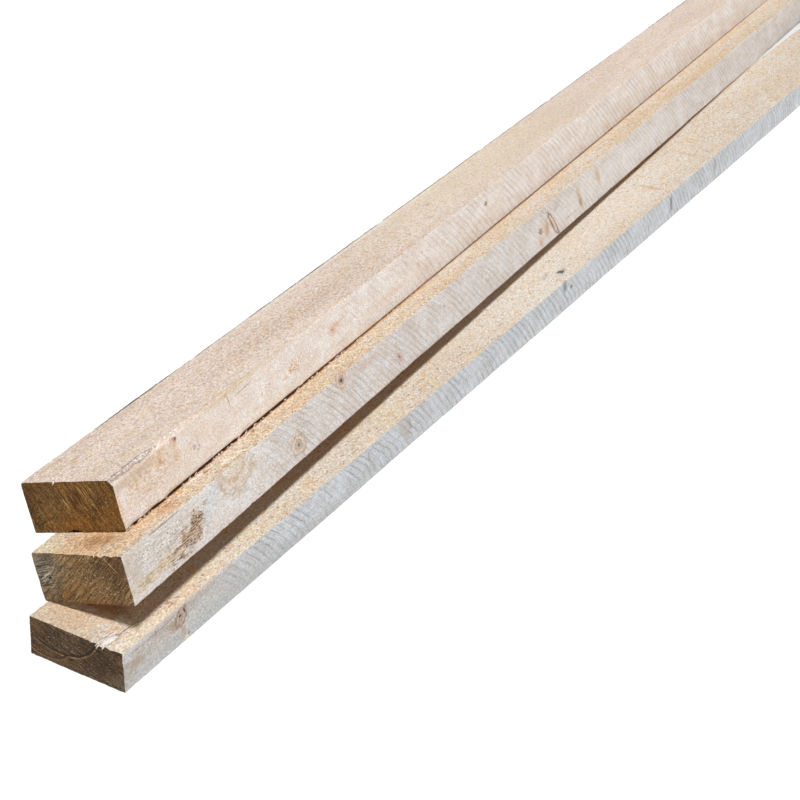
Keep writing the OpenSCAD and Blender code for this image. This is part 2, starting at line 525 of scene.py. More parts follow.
def joint_gap_shade(g, strip, cover, place, ragged):
    """Painted shade in the open joint along the outline of the strip on top, and painted warm bounce
    light in and beside it.
    """
    def on_top(across, along):
        p = cover.origin + np.array([across, along, 0]) @ cover.axes
        return (p - strip.origin) @ strip.axes.T

    corner = on_top(cover.wide, cover.near_y(cover.wide, 0))
    lead, left = on_top(cover.wide, cover.length) - corner, on_top(0, cover.near_y(0, 0)) - corner
    x, y, z = g.split(place)
    along, across = g.plus(y, -corner[1]), g.plus(x, -corner[0])
    uneven = g.times(g.plus(ragged, -0.5), 3.0)
    in_x = g.plus(g.math("SUBTRACT", g.times(along, lead[0] / lead[1]), across), uneven)
    in_y = g.plus(g.math("SUBTRACT", along, g.times(across, left[1] / left[0])), uneven)
    covered = g.times(g.ramp(in_x, -0.7, -0.1), g.ramp(in_y, 0.1, 0.7))
    rim = g.math("MAXIMUM", g.ramp(in_x, 12, 7), g.ramp(in_y, 16, 8))
    on_face = g.ramp(z, strip.thick - 2.0, strip.thick - 1.0)
    painted_shade = g.times(g.times(covered, rim), g.times(on_face, g.ramp(y, 160, 420, 0.97, 0.35)))
    stain = g.times(g.times(g.ramp(in_x, -2.0, -0.6), g.ramp(in_y, 0.1, 0.7)), on_face)
    return painted_shade, g.times(stain, g.ramp(y, 260, 420, 0.55, 0.1))


def shadow_band(g, strip, painted_shadow, place):
    """Near 1 on a strip's top in the shadow band that the strips leaning over it cast, for a painted
    warm shade.
    """
    x, y, z = g.split(place)
    across = g.plus(g.plus(x, g.times(y, painted_shadow["taper"])), -painted_shadow["edge"])
    along = g.plus(g.plus(y, g.times(x, -painted_shadow["skew"])), -painted_shadow["near"])
    on_face = g.ramp(z, strip.thick - 2.0, strip.thick - 1.0)
    return g.times(g.times(g.ramp(across, -0.2, -1.4), g.ramp(along, 0, 4)), on_face)


def saw_arcs(g, place, side, saw, seed):
    """The arcs that the saw's teeth left on the side faces, from 0 to 1, and a finer comb."""
    x, y, z = g.split(place)
    low = g.plus(z, saw["below"])
    drop = g.math("SQRT", g.math("SUBTRACT", saw["radius"] ** 2, g.times(low, low)))
    swept = g.math("SUBTRACT", y, drop)
    wobble = g.times(g.plus(g.noise(place, (30, 40, 9), 1, shift=seed + 17), -0.5), 0.9)
    phase = g.plus(g.math("DIVIDE", swept, saw["pitch"]), wobble)
    tooth = g.math("ABSOLUTE", g.plus(g.times(g.math("FRACT", phase), 2), -1))
    fine = g.noise(g.join(swept, z, x), (1.0, 16, 30), 3, 0.65, shift=seed + 19)
    comb = g.noise(g.join(swept, z, x), (0.7, 3.2, 0.8), 3, 0.65, shift=seed + 20)
    uneven = g.ramp(g.noise(place, (40, 22, 30), 2, shift=seed + 27), 0.3, 0.6, 0.35, 1)
    arcs = g.plus(g.times(g.math("POWER", tooth, 4), 0.6), g.times(g.ramp(fine, 0.36, 0.66), 0.45))
    return g.times(arcs, g.times(g.times(g.ramp(y, *saw["starts"]), uneven), side)), comb


def sawn_wood(name, strip, spec, cover=None):
    """The long faces: rough-sawn, slightly weathered hardwood. cover is the strip on top."""
    material, g, place = new_timber(name)
    x, y, z = g.split(place)
    side, hollow, _ = g.split(g.node("Attribute", attribute_name="skin").outputs["Vector"])
    seed = spec["seed"] * SEED_STEP
    marks = marks_on(strip, spec, "side", "top")
    rings = growth(g, bowed(g, place, marks), spec, seed)[0]
    arcs, comb = saw_arcs(g, place, side, spec["saw"], seed)

    broad = g.noise(place, (24, 120, 18), 2, shift=seed + 1)
    blotch = g.noise(place, (8, 16, 7), 3, shift=seed + 3)
    fuzz = g.noise(place, (0.9, 1.6, 0.8), 3, 0.65, shift=seed + 8)
    fleck = g.noise(place, (1.2, 2.3, 1.2), 2, 0.5, shift=seed + 11)
    rust = g.noise(place, (2.8, 7.0, 2.8), 4, 0.65, shift=seed + 15)
    grit = g.noise(place, (0.6, 0.8, 0.6), 2, 0.6, shift=seed + 13)
    torn = g.noise(place, (3.0, 6.0, 3.0), 5, 0.75, shift=seed + 33)
    threads = g.noise(place, (0.8, 7.0, 0.5), 3, 0.65, shift=seed + 35)
    specks = g.noise(place, (0.8, 1.0, 0.8), 2, 0.5, shift=seed + 37)

    # pale and fuzzy on top, greyer on the sawn edges
    look = spec["look"]
    top = g.mix(g.ramp(broad, 0.35, 0.65), look["top"], look["top_deep"])
    top = g.tint(top, look, (rings, 0.46, 0.68, 0.30, "top_streak"),
                 (fuzz, 0.50, 0.66, 0.45, "top_light"), (blotch, 0.48, 0.62, 0.35, "gold"),
                 (rust, 0.54, 0.66, 0.65, "rust"), (fleck, 0.59, 0.68, 0.75, "fleck"))
    flank = g.mix(g.ramp(blotch, 0.36, 0.64), look["side"], look["side_deep"])
    flank = g.tint(flank, look, (rust, 0.53, 0.64, 0.35, "stain"),
                   (rings, 0.48, 0.70, 0.22, "side_streak"))
    flank = g.mix(g.times(arcs, spec["saw"]["stain"]), flank, look["arc"])
    flank = g.tint(flank, look, (comb, 0.50, 0.70, 0.45, "side_light"))
    colour = g.mix(side, top, flank)

    # what is left of the log's outside at the top right arris
    if "bark" in spec:
        bark = spec["bark"]
        width = g.ramp(y, bark["runs_out"], bark["full"], 0, bark["wide"])
        uneven = g.plus(width, g.times(g.plus(torn, -0.5), 6))
        down_top = g.math("SUBTRACT", uneven, g.math("SUBTRACT", strip.wide, x))
        down_side = g.math("SUBTRACT", g.times(uneven, bark["low_share"]),
                           g.math("SUBTRACT", strip.thick, z))
        inside = g.math("MINIMUM", down_top, down_side)
        present = g.ramp(width, 0.1, 0.8)
        skin = g.mix(g.ramp(fuzz, 0.42, 0.58), bark["deep"], bark["pale"])
        colour = g.mix(g.times(g.ramp(inside, -0.1, 0.5), g.times(present, 0.85)), colour, skin)
        outline = g.ramp(g.math("ABSOLUTE", inside), 0.55, 0.1)
        outline = g.times(g.times(outline, present), g.ramp(grit, 0.36, 0.52))
        colour = g.mix(g.times(outline, 0.8), colour, bark["dark"])

    # painted warm shade in the shadow band that the leaning strips cast on this top
    if "painted_shadow" in spec:
        painted_shadow = spec["painted_shadow"]
        share = g.times(shadow_band(g, strip, painted_shadow, place), painted_shadow["share"])
        colour = g.mix(share, colour, painted_shadow["brown"])

    # a dark line along the top left arris, widening further along
    if "arris" in spec:
        arris = spec["arris"]
        inside = g.plus(x, g.times(g.math("SUBTRACT", strip.thick, z), 4))
        wide = g.ramp(y, arris["starts"][1], 400, arris["wide"], arris["wide"] * 1.4)
        line = g.times(g.ramp(g.math("DIVIDE", inside, wide), 1.0, 0.6), g.ramp(y, *arris["starts"]))
        line = g.times(line, g.ramp(torn, 0.34, 0.56, 0.4, 1.0))
        colour = g.mix(line, colour, arris["dark"])

    patterns = {"fleck": g.ramp(fleck, 0.46, 0.60), "fuzz": g.ramp(fuzz, 0.47, 0.60),
                "specks": g.ramp(specks, 0.60, 0.67), "threads": g.ramp(threads, 0.47, 0.58)}
    colour = add_marks(g, colour, place, marks, patterns, torn)

    # fine light and shade over everything, weaker towards the far end
    near, far, top_left, side_left = spec["fade"]
    crisp = g.times(g.ramp(side, 0, 1, *spec["crisp"]),
                    g.ramp(y, near, far, 1, g.ramp(side, 0, 1, top_left, side_left)))
    shade = g.plus(1.0, g.times(g.plus(g.plus(grit, fuzz), -1), crisp))
    # painted shade: the hollows and the taper of the underside are darkened
    shade = g.times(shade, g.plus(1, g.times(hollow, -0.75)))
    # painted shade in the open joint under the strip on top, turning into painted warm bounce light
    # further along
    if cover:
        painted_shade, stain = joint_gap_shade(g, strip, cover, place, torn)
        colour = g.mix(stain, colour, JOINT_BOUNCE)
        colour = g.mix(painted_shade, colour, g.mix(g.ramp(y, 150, 380), JOINT_SHADE, JOINT_BOUNCE))
    height = g.plus(g.plus(g.times(fuzz, 0.35), g.times(grit, 0.2)), g.times(arcs, -0.15))
    bare_wood(g, colour, shade, height)
    return material


def end_grain(name, strip, spec):
    """The cross-cut ends: dark, with growth rings, rays and the lines of the cross cut."""
    material, g, place = new_timber(name)
    seed, cut = spec["seed"] * SEED_STEP, spec["end"]
    rings, reach, angle = growth(g, place, spec, seed)
    rays = g.noise(g.join(g.times(reach, 0.1), 0, angle), (1, 1, 0.55), 3, 0.6, shift=seed + 2)
    patch = g.noise(place, (9, 5, 6), 3, shift=seed + 23)
    torn = g.noise(place, (3.0, 6.0, 3.0), 5, 0.75, shift=seed + 33)
    fleck = g.noise(place, (1.2, 2.3, 1.2), 2, 0.5, shift=seed + 11)
    pores = g.noise(place, (0.75, 0.75, 0.75), 2, 0.6, shift=seed + 43)
    grit = g.noise(place, (0.6, 0.8, 0.6), 2, 0.6, shift=seed + 13)
    slope = g.add("Mapping", {0: place, 2: (0, math.radians(cut["slope"]), 0)})
    hatch = g.noise(slope, (6, 4, 0.55), 2, 0.6, shift=seed + 41)
    slant = g.add("Mapping", {0: place, 2: (0, math.radians(8), 0)})
    lines = g.noise(slant, (7, 5, 0.45), 3, 0.65, shift=seed + 39)

    colour = g.mix(g.ramp(patch, 0.35, 0.65), cut["deep"], cut["warm"])
    colour = g.tint(colour, cut, (rings, 0.46, 0.66, cut["rings"], "light"),
                    (rays, 0.46, 0.66, cut["rays"], "light"),
                    (hatch, 0.50, 0.64, cut["hatch"], "light"),
                    (hatch, 0.48, 0.36, cut["hatch"], "dark"),
                    (pores, 0.56, 0.66, 0.7, "speck"), (pores, 0.44, 0.34, 0.6, "dark"))
    patterns = {"fleck": g.ramp(fleck, 0.46, 0.60), "lines": g.ramp(lines, 0.46, 0.58),
                "hatch": g.ramp(hatch, 0.50, 0.64)}
    colour = add_marks(g, colour, place, marks_on(strip, spec, "end"), patterns, torn)
    shade = g.plus(1.0, g.times(g.plus(g.plus(grit, hatch), -1), cut["crisp"]))
    height = g.plus(g.plus(g.times(pores, 0.35), g.times(grit, 0.2)), g.times(hatch, 0.2))
    bare_wood(g, colour, shade, height)
    return material


# ---- the three strips

# the painted shade of the open joint under the top strip, and its painted warm bounce light
JOINT_SHADE = rgb(70, 36, 14)
JOINT_BOUNCE = rgb(204, 142, 82)

TOP_MARKS = {"side": [
    spot((50, 12), (90, 16), (218, 196, 176), 0.4, 0.6),
    spot((38, 6), (12, 7), (224, 184, 138), 0.45, 0.9, turn=10),
    spot((28, 10), (34, 14), (188, 142, 100), 0.45, 0.9, through="fleck"),
    spot((17, 9), (2.2, 7), (206, 170, 112), 0.5, 1, turn=20),
    spot((1, 13), (4, 13), (216, 174, 138), 0.5),
    spot((38, 8), (1.6, 4), (186, 136, 88), 0.6, 1, 0.8, 40),
    spot((67, 13), (6.5, 4.8), (166, 148, 150), 0.75, 1, 0.8, 0, "fleck"),
    spot((101.5, 5), (6, 0.9), (190, 164, 106), 0.9, 0.6, 0.8, -84),
    spot((100, 1.6), (1.6, 1.6), (160, 138, 108), 0.7, soft=0.8),
    spot((117, 4.6), (15, 0.7), (166, 126, 88), 0.7, 1, 0.8, 3),
    spot((134, 13), (8, 2.8), (208, 160, 108), 0.95, 1, 0.8, 8, "fleck"),
    spot((165, 13.5), (15, 5), (206, 166, 122), 0.9, 1, 0.8, 6, "fleck"),
    spot((220, 8.5), (13, 1.2), (206, 164, 124), 0.6, 1, 0.8, 6),
    spot((321, 12), (3, 1.8), (206, 156, 108), 0.7, 0.6, 0.7, -50),
    spot((329, 7), (2, 1.2), (196, 152, 112), 0.6, 0.6, 0.7, -30),
    spot((426, 8), (3.4, 1.7), (140, 100, 72), 0.8, 0.6, 0.7, 10),
    spot((150, 23), (180, 5), (246, 236, 228), 0.5, 0),
    spot((12, 4.2), (46, 6), (190, 160, 130), 0.6, 0.4),
    spot((90, 2), (60, 5), (212, 196, 180), 0.4, 0.4),
    # painted shade that dims the bright facet along the top arris, which catches both lamps
    spot((110, 0.8), (85, 2.2), (206, 180, 150), 0.6, 0.6),
    spot((280, 15), (60, 3), (222, 196, 176), 0.4),
    spot((50, 8), (4, 7), (212, 174, 138), 0.45, 0.9, turn=10),
    spot((52, 3.8), (3.6, 3), (196, 156, 126), 0.6, 0.9, bow=6),
    spot((52.3, 3.4), (2.2, 1.7), (146, 102, 76), 0.85, 0.9, 0.8),
    spot((52.6, 3.2), (1, 0.8), (104, 68, 50), 0.9, soft=0.7),
    *knot((210, 10), 0.9, 4.5, (176, 132, 96), (206, 166, 130), 0.7),
], "top": [
    spot((108, 2), (4, 1.5), (190, 160, 110), soft=0.8),
    spot((408, 20), (5, 1.5), (146, 122, 82), 0.85, 0.8, 0.8, 20),
    spot((378, 35), (5, 4), (194, 162, 134), 0.6, 1.2),
    spot((345, 37), (7, 2.4), (196, 156, 136), 0.6, 1.2, turn=20),
    spot((596, 27), (5, 1.6), (192, 176, 118), 0.7, 0.8, 0.8, 20),
    spot((330, 3.2), (300, 2.6), (246, 240, 230), 0.6, 0),
    spot((500, 22), (280, 36), (228, 218, 190), 0.4, 0),
    spot((200, 28), (190, 18), (190, 150, 120), 0.5, through="fleck"),
    spot((245, 33), (45, 9), (140, 112, 84), 0.5, 1, through="specks"),
    spot((28, 13), (26, 0.9), (180, 146, 104), 0.6, 1.2, 0.8, 2),
    spot((22, 4.5), (16, 0.8), (186, 150, 110), 0.5, 1.2, 0.8, -4),
    spot((50, 43), (34, 7), (238, 226, 202), 0.35),
], "end": [
    spot((1, 16), (13, 16), (56, 36, 16), 0.8, 0.6),
    spot((14, 16), (9, 14), (86, 64, 37), 0.5),
    spot((29.5, 17), (7, 14), (84, 52, 18), 0.75, 0.6, turn=-15),
    spot((27, 4), (16, 6), (146, 98, 46), 0.45),
    spot((44, 4), (12, 6), (142, 102, 54), 0.5),
    spot((31, 16), (13, 14), (160, 122, 74), 0.45, 0.4, 0.8, 0, "hatch"),
    spot((12, 12), (14, 14), (140, 112, 76), 0.35, 0.4, 0.8, 0, "fleck"),
    spot((8, 5.5), (10, 0.5), (52, 34, 18), 0.7, 0.6, 0.8, 24),
    spot((22.7, 13.6), (4.4, 0.42), (184, 150, 102), 0.8, 0.3, 0.7, -64),
    spot((33.8, 18), (6.6, 0.3), (160, 124, 80), 0.7, 0.3, 0.7, -66),
    spot((35.6, 16.5), (7.2, 0.42), (184, 148, 100), 0.8, 0.3, 0.7, -68),
    spot((38.5, 20), (5.4, 0.4), (170, 134, 88), 0.8, 0.3, 0.7, -63),
    spot((37, 18), (6.4, 0.35), (62, 40, 20), 0.7, 0.3, 0.7, -66),
]}
TOP = {
    "marks": TOP_MARKS,
    "bark": {"full": 26, "runs_out": 46, "wide": 2.9, "low_share": 0.5,
             **palette(pale=(222, 218, 222), deep=(176, 160, 154), dark=(96, 76, 64))},
    "arris": {"wide": 1.3, "starts": (45, 75), "dark": rgb(78, 72, 62)},
    "seed": 1, "crisp": (1.25, 0.95), "fade": (180, 480, 0.7, 0.5),
    "fibres": (46, 0.25), "joint_fibres": 70, "pith": (-29, -13),
    "saw": {"radius": 118, "below": 70, "pitch": 6.9, "starts": (110, 360), "depth": 0.12,
            "stain": 0.62},
    "dents": [((20, 0, 25), 1.1, 0.3), ((31, 0, 25), 1.2, 0.3), ((34.5, -0.4, 25), 1.0, 0.35),
              ((42, -0.4, 25), 1.2, 0.3), ((51, 0, 0), 9, -0.6), ((51, 16, 0.2), 8, -0.45),
              ((51, 33, 0.2), 9, -0.5), ((51, 103, 0.6), 5, -0.5), ((51, 168, 0.6), 4, -0.5)],
    "flakes": [([(18.2, 2.5, 25.0), (19.2, 0.4, 25.3), (19.8, -0.6, 25.0), (19.4, -0.9, 24.0)],
                (0.5, 0.55, 0.4, 0.1), 0.25)],
    "look": palette(
        top=(233, 220, 212), top_deep=(222, 207, 197), top_streak=(208, 181, 161),
        top_light=(246, 240, 237), fleck=(164, 136, 112), rust=(216, 180, 144),
        gold=(231, 211, 185), stain=(226, 198, 164), side=(231, 228, 227),
        side_deep=(223, 213, 208), side_streak=(212, 188, 166), side_light=(247, 246, 248),
        arc=(160, 142, 128)),
    "end": {**palette(deep=(87, 60, 26), warm=(115, 78, 31), light=(138, 102, 53),
                      dark=(50, 32, 14), speck=(170, 135, 86)),
            "rings": 0.22, "rays": 0.1, "hatch": 0.2, "slope": -62, "crisp": 2.4},
}

MIDDLE_MARKS = {"side": [
    spot((30, 7), (34, 12), (220, 217, 211), 0.7, soft=0.8),
    spot((2, 9), (13, 17), (188, 177, 163), 0.6, 0.6),
    spot((22, 17.5), (32, 4.5), (206, 180, 132), 0.6, 1.2, turn=3),
    spot((30, 8), (36, 10), (98, 78, 62), 0.9, 0.6, 0.8, 0, "specks"),
    spot((30, 9), (38, 13), (170, 158, 146), 0.6, 0.6, 0.8, 0, "threads"),
    # painted shade: a thin dark line just under the top arris
    spot((30, 0.9), (20, 0.7), (124, 112, 108), 0.7, 1, 0.8),
    spot((20, 18), (30, 3.4), (134, 104, 58), 0.85, 1.6, 0.9, 3, "threads"),
    spot((49, 14), (20, 7.5), (190, 158, 122), 0.75, 1.6, 0.8, 18),
    spot((52, 13.5), (17, 6), (132, 92, 58), 0.9, 1.8, 0.6, 20, "fleck"),
    spot((48, 15), (22, 7), (84, 56, 36), 0.95, 1.8, 0.6, 16, "threads"),
    spot((67, 9), (18, 5.6), (207, 211, 215), 0.9, 0.7, turn=42),
    spot((92, 5), (16, 9), (212, 192, 166)),
    spot((92, 3), (15, 10.5), (176, 146, 108), 0.5, ring=0.18, bow=16),
    spot((79, 6), (3, 7), (166, 130, 92), 0.5, 1, 0.9, 20, "threads"),
    spot((91, 1), (10, 6), (186, 152, 116), 0.5, 0.6, ring=0.3),
    spot((249, 13), (4, 3), (212, 216, 222), soft=0.8),
    spot((328, 9), (1.6, 1.2), (140, 136, 138), 0.7, 0.6, 0.7),
    spot((620, 12), (260, 16), (238, 235, 231), 0.28, 0),
    spot((483, 14), (11, 8), (206, 178, 148), 0.5, 1, turn=-40),
    spot((476, 13), (4.2, 2.8), (112, 100, 94), 0.75, 1.2, 0.8, -30),
    spot((474, 20), (6, 4.5), (194, 156, 106), 0.65),
    spot((487, 14), (5, 7.5), (186, 146, 104), 0.7, turn=-15),
    spot((498, 14.5), (11, 5), (200, 164, 132), turn=-56),
    spot((497.5, 14.5), (9.5, 2.6), (120, 78, 52), 0.75, 0.9, turn=-56, ring=0.35),
    spot((495.5, 14), (7.5, 1), (110, 68, 42), 0.8, 0.8, 0.8, -58),
    spot((499, 14.5), (7, 1.2), (222, 200, 178), 0.7, turn=-56),
    spot((508, 6), (9, 4), (188, 176, 170), soft=0.8, turn=20),
    spot((528, 18.5), (19, 0.9), (204, 162, 122), 0.6, 1, 0.8),
    spot((547, 12), (11, 5.5), (188, 162, 132), 0.8, 0.5, turn=-78),
    spot((548, 16), (5, 3), (160, 130, 98), 0.7, turn=-70),
    spot((585, 9), (11, 5.5), (196, 166, 134), 0.8, 0.6, turn=-78),
    spot((232, 5), (30, 3.5), (196, 170, 154), 0.5, 1),
    *knot((149, 16), 1.6, 7, (100, 78, 64), (180, 150, 122), 0.95),
    *knot((201.6, 3), 1.6, 6, (80, 54, 42), (182, 144, 114), 0.95),
    *knot((265.6, 15.4), 1.3, 5.2, (116, 88, 70), (180, 146, 122), 0.7, -60),
], "top": [
    spot((20, 28), (46, 28), (228, 182, 126)),
    spot((5, 5), (15, 9), (232, 222, 194), 0.7),
    spot((13, 29), (10, 15), (168, 116, 74)),
    spot((9, 27), (10, 15), (122, 80, 48), 0.6, 1, through="threads"),
    spot((2, 46), (20, 5), (240, 206, 160), 0.5),
    spot((46, 44), (14, 6), (206, 158, 112), 0.5, 1.2),
    spot((46, 43), (14, 5), (146, 98, 62), 0.7, 1.6, through="threads"),
    spot((76, 41), (9, 3.4), (222, 212, 204), 0.8, 1.2, 0.8),
    spot((84, 42), (4, 1.6), (116, 80, 56), 0.8, 1.4, 0.8),
    spot((99, 46), (11, 4.4), (240, 230, 214), 0.7, 1.2, 0.8),
    spot((130, 40), (12, 3.4), (176, 130, 90), 0.5, 1.4, through="fleck"),
    spot((162, 48), (8, 4), (228, 178, 126), 0.6, 1.2),
    spot((204, 45), (9, 4), (204, 196, 190), 0.7, 1.2),
    spot((152, 44), (14, 3.2), (206, 148, 92), 0.5, 1.2, 0.8, 12, "fuzz"),
], "end": [
    spot((2, 15), (21, 17), (152, 142, 124), 0.75, soft=1),
    spot((2, 12), (17, 16), (46, 48, 45), 0.9, 0.6, 0.8, 0, "lines"),
    spot((7.2, 12), (1.4, 1), (28, 24, 20), 0.95, 0.4, 0.6, 10),
    spot((5, 12.9), (5.2, 0.45), (214, 206, 188), 0.85, 0, 0.7, 30),
    spot((3.4, 10.4), (3.6, 0.4), (200, 190, 170), 0.7, 0, 0.7, 22),
    spot((8.5, 18.4), (8.6, 0.4), (60, 66, 68), 0.8, 0.3, 0.8, -7),
    spot((7, 9), (7, 0.35), (56, 56, 54), 0.75, 0.3, 0.8, 7),
    spot((20, 8), (16, 9), (146, 110, 66), 0.35),
    spot((15, 4.7), (5, 3.4), (152, 102, 46), 0.5, 1, turn=20),
    spot((47, 18), (17, 13), (80, 52, 32), 0.7, turn=-20),
    spot((30, 1), (22, 3), (140, 92, 50), 0.4),
    spot((44.5, 19.2), (7.4, 0.4), (190, 158, 108), 0.8, 0.3, 0.7, -50),
]}
MIDDLE = {
    "marks": MIDDLE_MARKS,
    "cover": "top_strip",
    "seed": 2, "crisp": (1.75, 1.0), "fade": (150, 460, 0.55, 0.5),
    "fibres": (46, 0.25), "pith": (-10, -28),
    "saw": {"radius": 110, "below": 66, "pitch": 5.8, "starts": (85, 150), "depth": 0.12,
            "stain": 0.58},
    "dents": [((40, -2.4, 24), 2.6, 0.9), ((46.5, -2.8, 24), 2.0, 0.7), ((34, -2, 24), 1.6, 0.4)],
    "flakes": [([(36.5, 1.0, 24.0), (36.9, -2.2, 24.3), (37.4, -3.2, 23.6)], (0.5, 0.4, 0.1), 0.2)],
    "look": palette(
        top=(214, 206, 197), top_deep=(209, 192, 170), top_streak=(210, 170, 130),
        top_light=(238, 230, 220), fleck=(160, 120, 86), rust=(212, 160, 108),
        gold=(220, 198, 154), stain=(206, 182, 156), side=(215, 213, 214),
        side_deep=(209, 201, 196), side_streak=(190, 172, 155), side_light=(238, 238, 240),
        arc=(140, 127, 118)),
    "end": {**palette(deep=(96, 73, 45), warm=(122, 92, 55), light=(148, 120, 82),
                      dark=(50, 36, 22), speck=(180, 158, 122)),
            "rings": 0.15, "rays": 0.15, "hatch": 0.5, "slope": 40, "crisp": 2.4},
}

BOTTOM_MARKS = {"side": [
    spot((50, 12), (100, 18), (190, 184, 176), 0.5, 0.4),
    spot((22, 10), (34, 13), (190, 176, 160), 0.4, 0.9),
    spot((90, 21), (270, 9), (181, 183, 183), 0.6, 0),
    spot((1, 13), (13, 15), (170, 160, 146), 0.55, 0.6),
    spot((52, 3), (46, 7), (172, 152, 136), 0.45, 0.6),
    spot((10, 10), (9, 5), (168, 140, 112), 0.5, 1.2),
    spot((20, 4), (20, 1.2), (150, 124, 102), 0.4, 1.8),
    spot((30, 8), (36, 13), (112, 96, 80), 0.6, 0.9, through="specks"),
    spot((42, 7), (9, 8), (188, 162, 140), 0.45, 1, bow=8),
    spot((36.5, 9), (6.5, 4.5), (168, 136, 106), 0.55, 1.2, turn=-25),
    spot((46.5, 17), (5.5, 2.6), (184, 148, 112), 0.5, 1, turn=-80),
    spot((43, 6.6), (4.2, 4.6), (176, 146, 124), soft=0.7),
    spot((43.3, 6.8), (4.2, 4.8), (140, 100, 78), 0.6, 0.9, ring=0.3),
    spot((45.8, 4.6), (2.8, 0.8), (56, 32, 22), 0.95, 0.5, 0.7, -62),
    spot((42.6, 5.9), (1.2, 0.9), (58, 42, 34), 0.95, soft=0.6),
    spot((49.5, 22), (2.6, 1.4), (238, 224, 194), 0.8, soft=0.7),
    spot((51, 20.4), (1, 1.4), (124, 94, 68), 0.7, soft=0.7),
    spot((217, 7), (4.5, 1.2), (140, 134, 130), 0.6, 0.9, 0.8, -70),
    spot((257, 8), (20, 9), (178, 166, 150), 0.55, 1.1, turn=-40),
    spot((264, 9), (9, 1.6), (146, 130, 112), 0.45, 1.2, turn=-52),
    spot((470, 4), (9, 4.6), (128, 130, 134), 0.8, 0.6, turn=-62),
    spot((482, 8), (3.2, 2.1), (96, 98, 102), 0.85, 0.6, 0.8, -20),
    spot((660, 10), (12, 3.2), (140, 122, 118), 0.8, 0.8, 0.8, -62),
    spot((752, 10), (12, 4), (160, 146, 138), turn=-62),
], "top": [
    spot((540, 28), (300, 30), (234, 226, 220), 0.22, 0),
    spot((481, 41), (9, 4), (56, 56, 54), 0.9, 0.8, 0.9, 10, "fuzz"),
    spot((481.5, 40.5), (6, 2.4), (62, 62, 60), 0.9, 1.2, 0.8, -12),
    spot((468, 35.5), (10, 2.4), (84, 76, 66), 0.85, 1, 0.9, 10, "fuzz"),
    spot((654, 34), (3.2, 14), (190, 150, 110), 0.6, 1, 0.8, 16),
    spot((735, 32), (3.2, 12), (190, 156, 120), 0.5, 1, 0.8, 16),
    spot((30, 47), (70, 7), (236, 214, 180), 0.3),
    spot((5, 11), (17, 26), (196, 162, 118), 0.5, 0.6, 0.8),
    spot((11, 36), (6, 5), (200, 162, 120), 0.5),
    spot((3, 45), (8, 4), (226, 220, 208), 0.5, 0.6),
    spot((3, 38.4), (7, 3.4), (240, 236, 236), 0.85, 1, 0.5),
    spot((5, 36.2), (6, 0.5), (140, 110, 96), soft=0.7, turn=-6),
    # painted shadow of the middle strip's near end on this top
    spot((23, 22), (10, 17), (98, 62, 36), 0.7, 0.7),
    spot((14, 40), (8, 0.4), (84, 60, 44), 0.8, 0.5, 0.7, -4),
    spot((26, 24), (26, 15), (196, 150, 112), 0.5, 0.9),
    spot((22, 30), (8, 4), (112, 76, 50), 0.75, 1.4, through="threads"),
    spot((41, 44), (10, 4.4), (164, 112, 64), 0.85, 1.4, through="fleck"),
], "end": [
    spot((14.9, 29.8), (22.6, 22.6), (158, 128, 88), 0.9, 0.04, ring=0.03),
    spot((14.9, 29.8), (21.6, 21.6), (34, 22, 14), 0.9, 0.04, ring=0.055),
    spot((7.7, 17.3), (15.4, 15.4), (140, 112, 74), 0.85, 0.04, ring=0.04, until=20),
    spot((7.7, 17.3), (14.3, 14.3), (32, 21, 13), 0.9, 0.04, ring=0.07, until=19),
    spot((2, 17), (8, 9), (112, 78, 44), 0.4, 0.6),
    spot((14, 4), (20, 6), (108, 82, 56), 0.45),
    spot((37, 13), (14, 15), (54, 38, 22)),
    spot((46, 4), (9, 7), (112, 102, 84), 0.5),
]}
BOTTOM = {
    "marks": BOTTOM_MARKS,
    # painted warm shade in the shadow band that the leaning middle strip casts on this top
    "painted_shadow": {"edge": 44.2, "taper": 0.0433, "near": 12.5, "skew": 0.17, "share": 0.28,
                "brown": rgb(158, 98, 44)},
    "seed": 3, "crisp": (1.2, 1.1), "fade": (60, 380, 0.8, 0.6),
    "fibres": (40, 0), "pith": (14.9, 29.8),
    "saw": {"radius": 105, "below": 64, "pitch": 5.9, "starts": (30, 110), "depth": 0.16,
            "stain": 0.85},
    "dents": [((43, -1.5, 23.5), 2.2, 0.6), ((33, -2, 23.5), 1.8, 0.5), ((0, -2, 0), 2.4, 0.8)],
    "flakes": [([(39.9, 9.0, 23.4), (39.4, 5.0, 24.0), (38.9, 1.0, 24.2), (38.6, -1.2, 24.0),
                 (38.4, -2.6, 23.4)], (1.4, 1.8, 1.9, 1.5, 0.9), 0.4),
               ([(37.4, 0.0, 24.0), (37.1, -3.0, 23.5), (37.0, -4.2, 22.8)], (0.5, 0.35, 0.1), 0.25),
               ([(39.6, 0.0, 24.0), (39.9, -2.8, 23.7), (39.8, -3.8, 23.2)], (0.5, 0.3, 0.1), 0.25),
               ([(36.4, 4.0, 23.5), (36.2, 0.0, 24.0), (36.0, -3.4, 23.3)], (0.3, 0.8, 0.2), 0.3)],
    "look": palette(
        top=(207, 202, 195), top_deep=(201, 190, 178), top_streak=(198, 170, 140),
        top_light=(232, 228, 222), fleck=(162, 130, 96), rust=(206, 166, 124),
        gold=(211, 194, 161), stain=(206, 196, 184), side=(217, 223, 231),
        side_deep=(210, 212, 216), side_streak=(188, 189, 188), side_light=(234, 241, 250),
        arc=(134, 138, 142)),
    "end": {**palette(deep=(69, 51, 33), warm=(85, 63, 42), light=(109, 87, 63),
                      dark=(32, 22, 14), speck=(146, 130, 110)),
            "rings": 0.2, "rays": 0.12, "hatch": 0.42, "slope": -25, "crisp": 3.0},
}


def add_object(name, data):
    """A new object of the scene."""
    made = bpy.data.objects.new(name, data)
    bpy.context.scene.collection.objects.link(made)
    return made


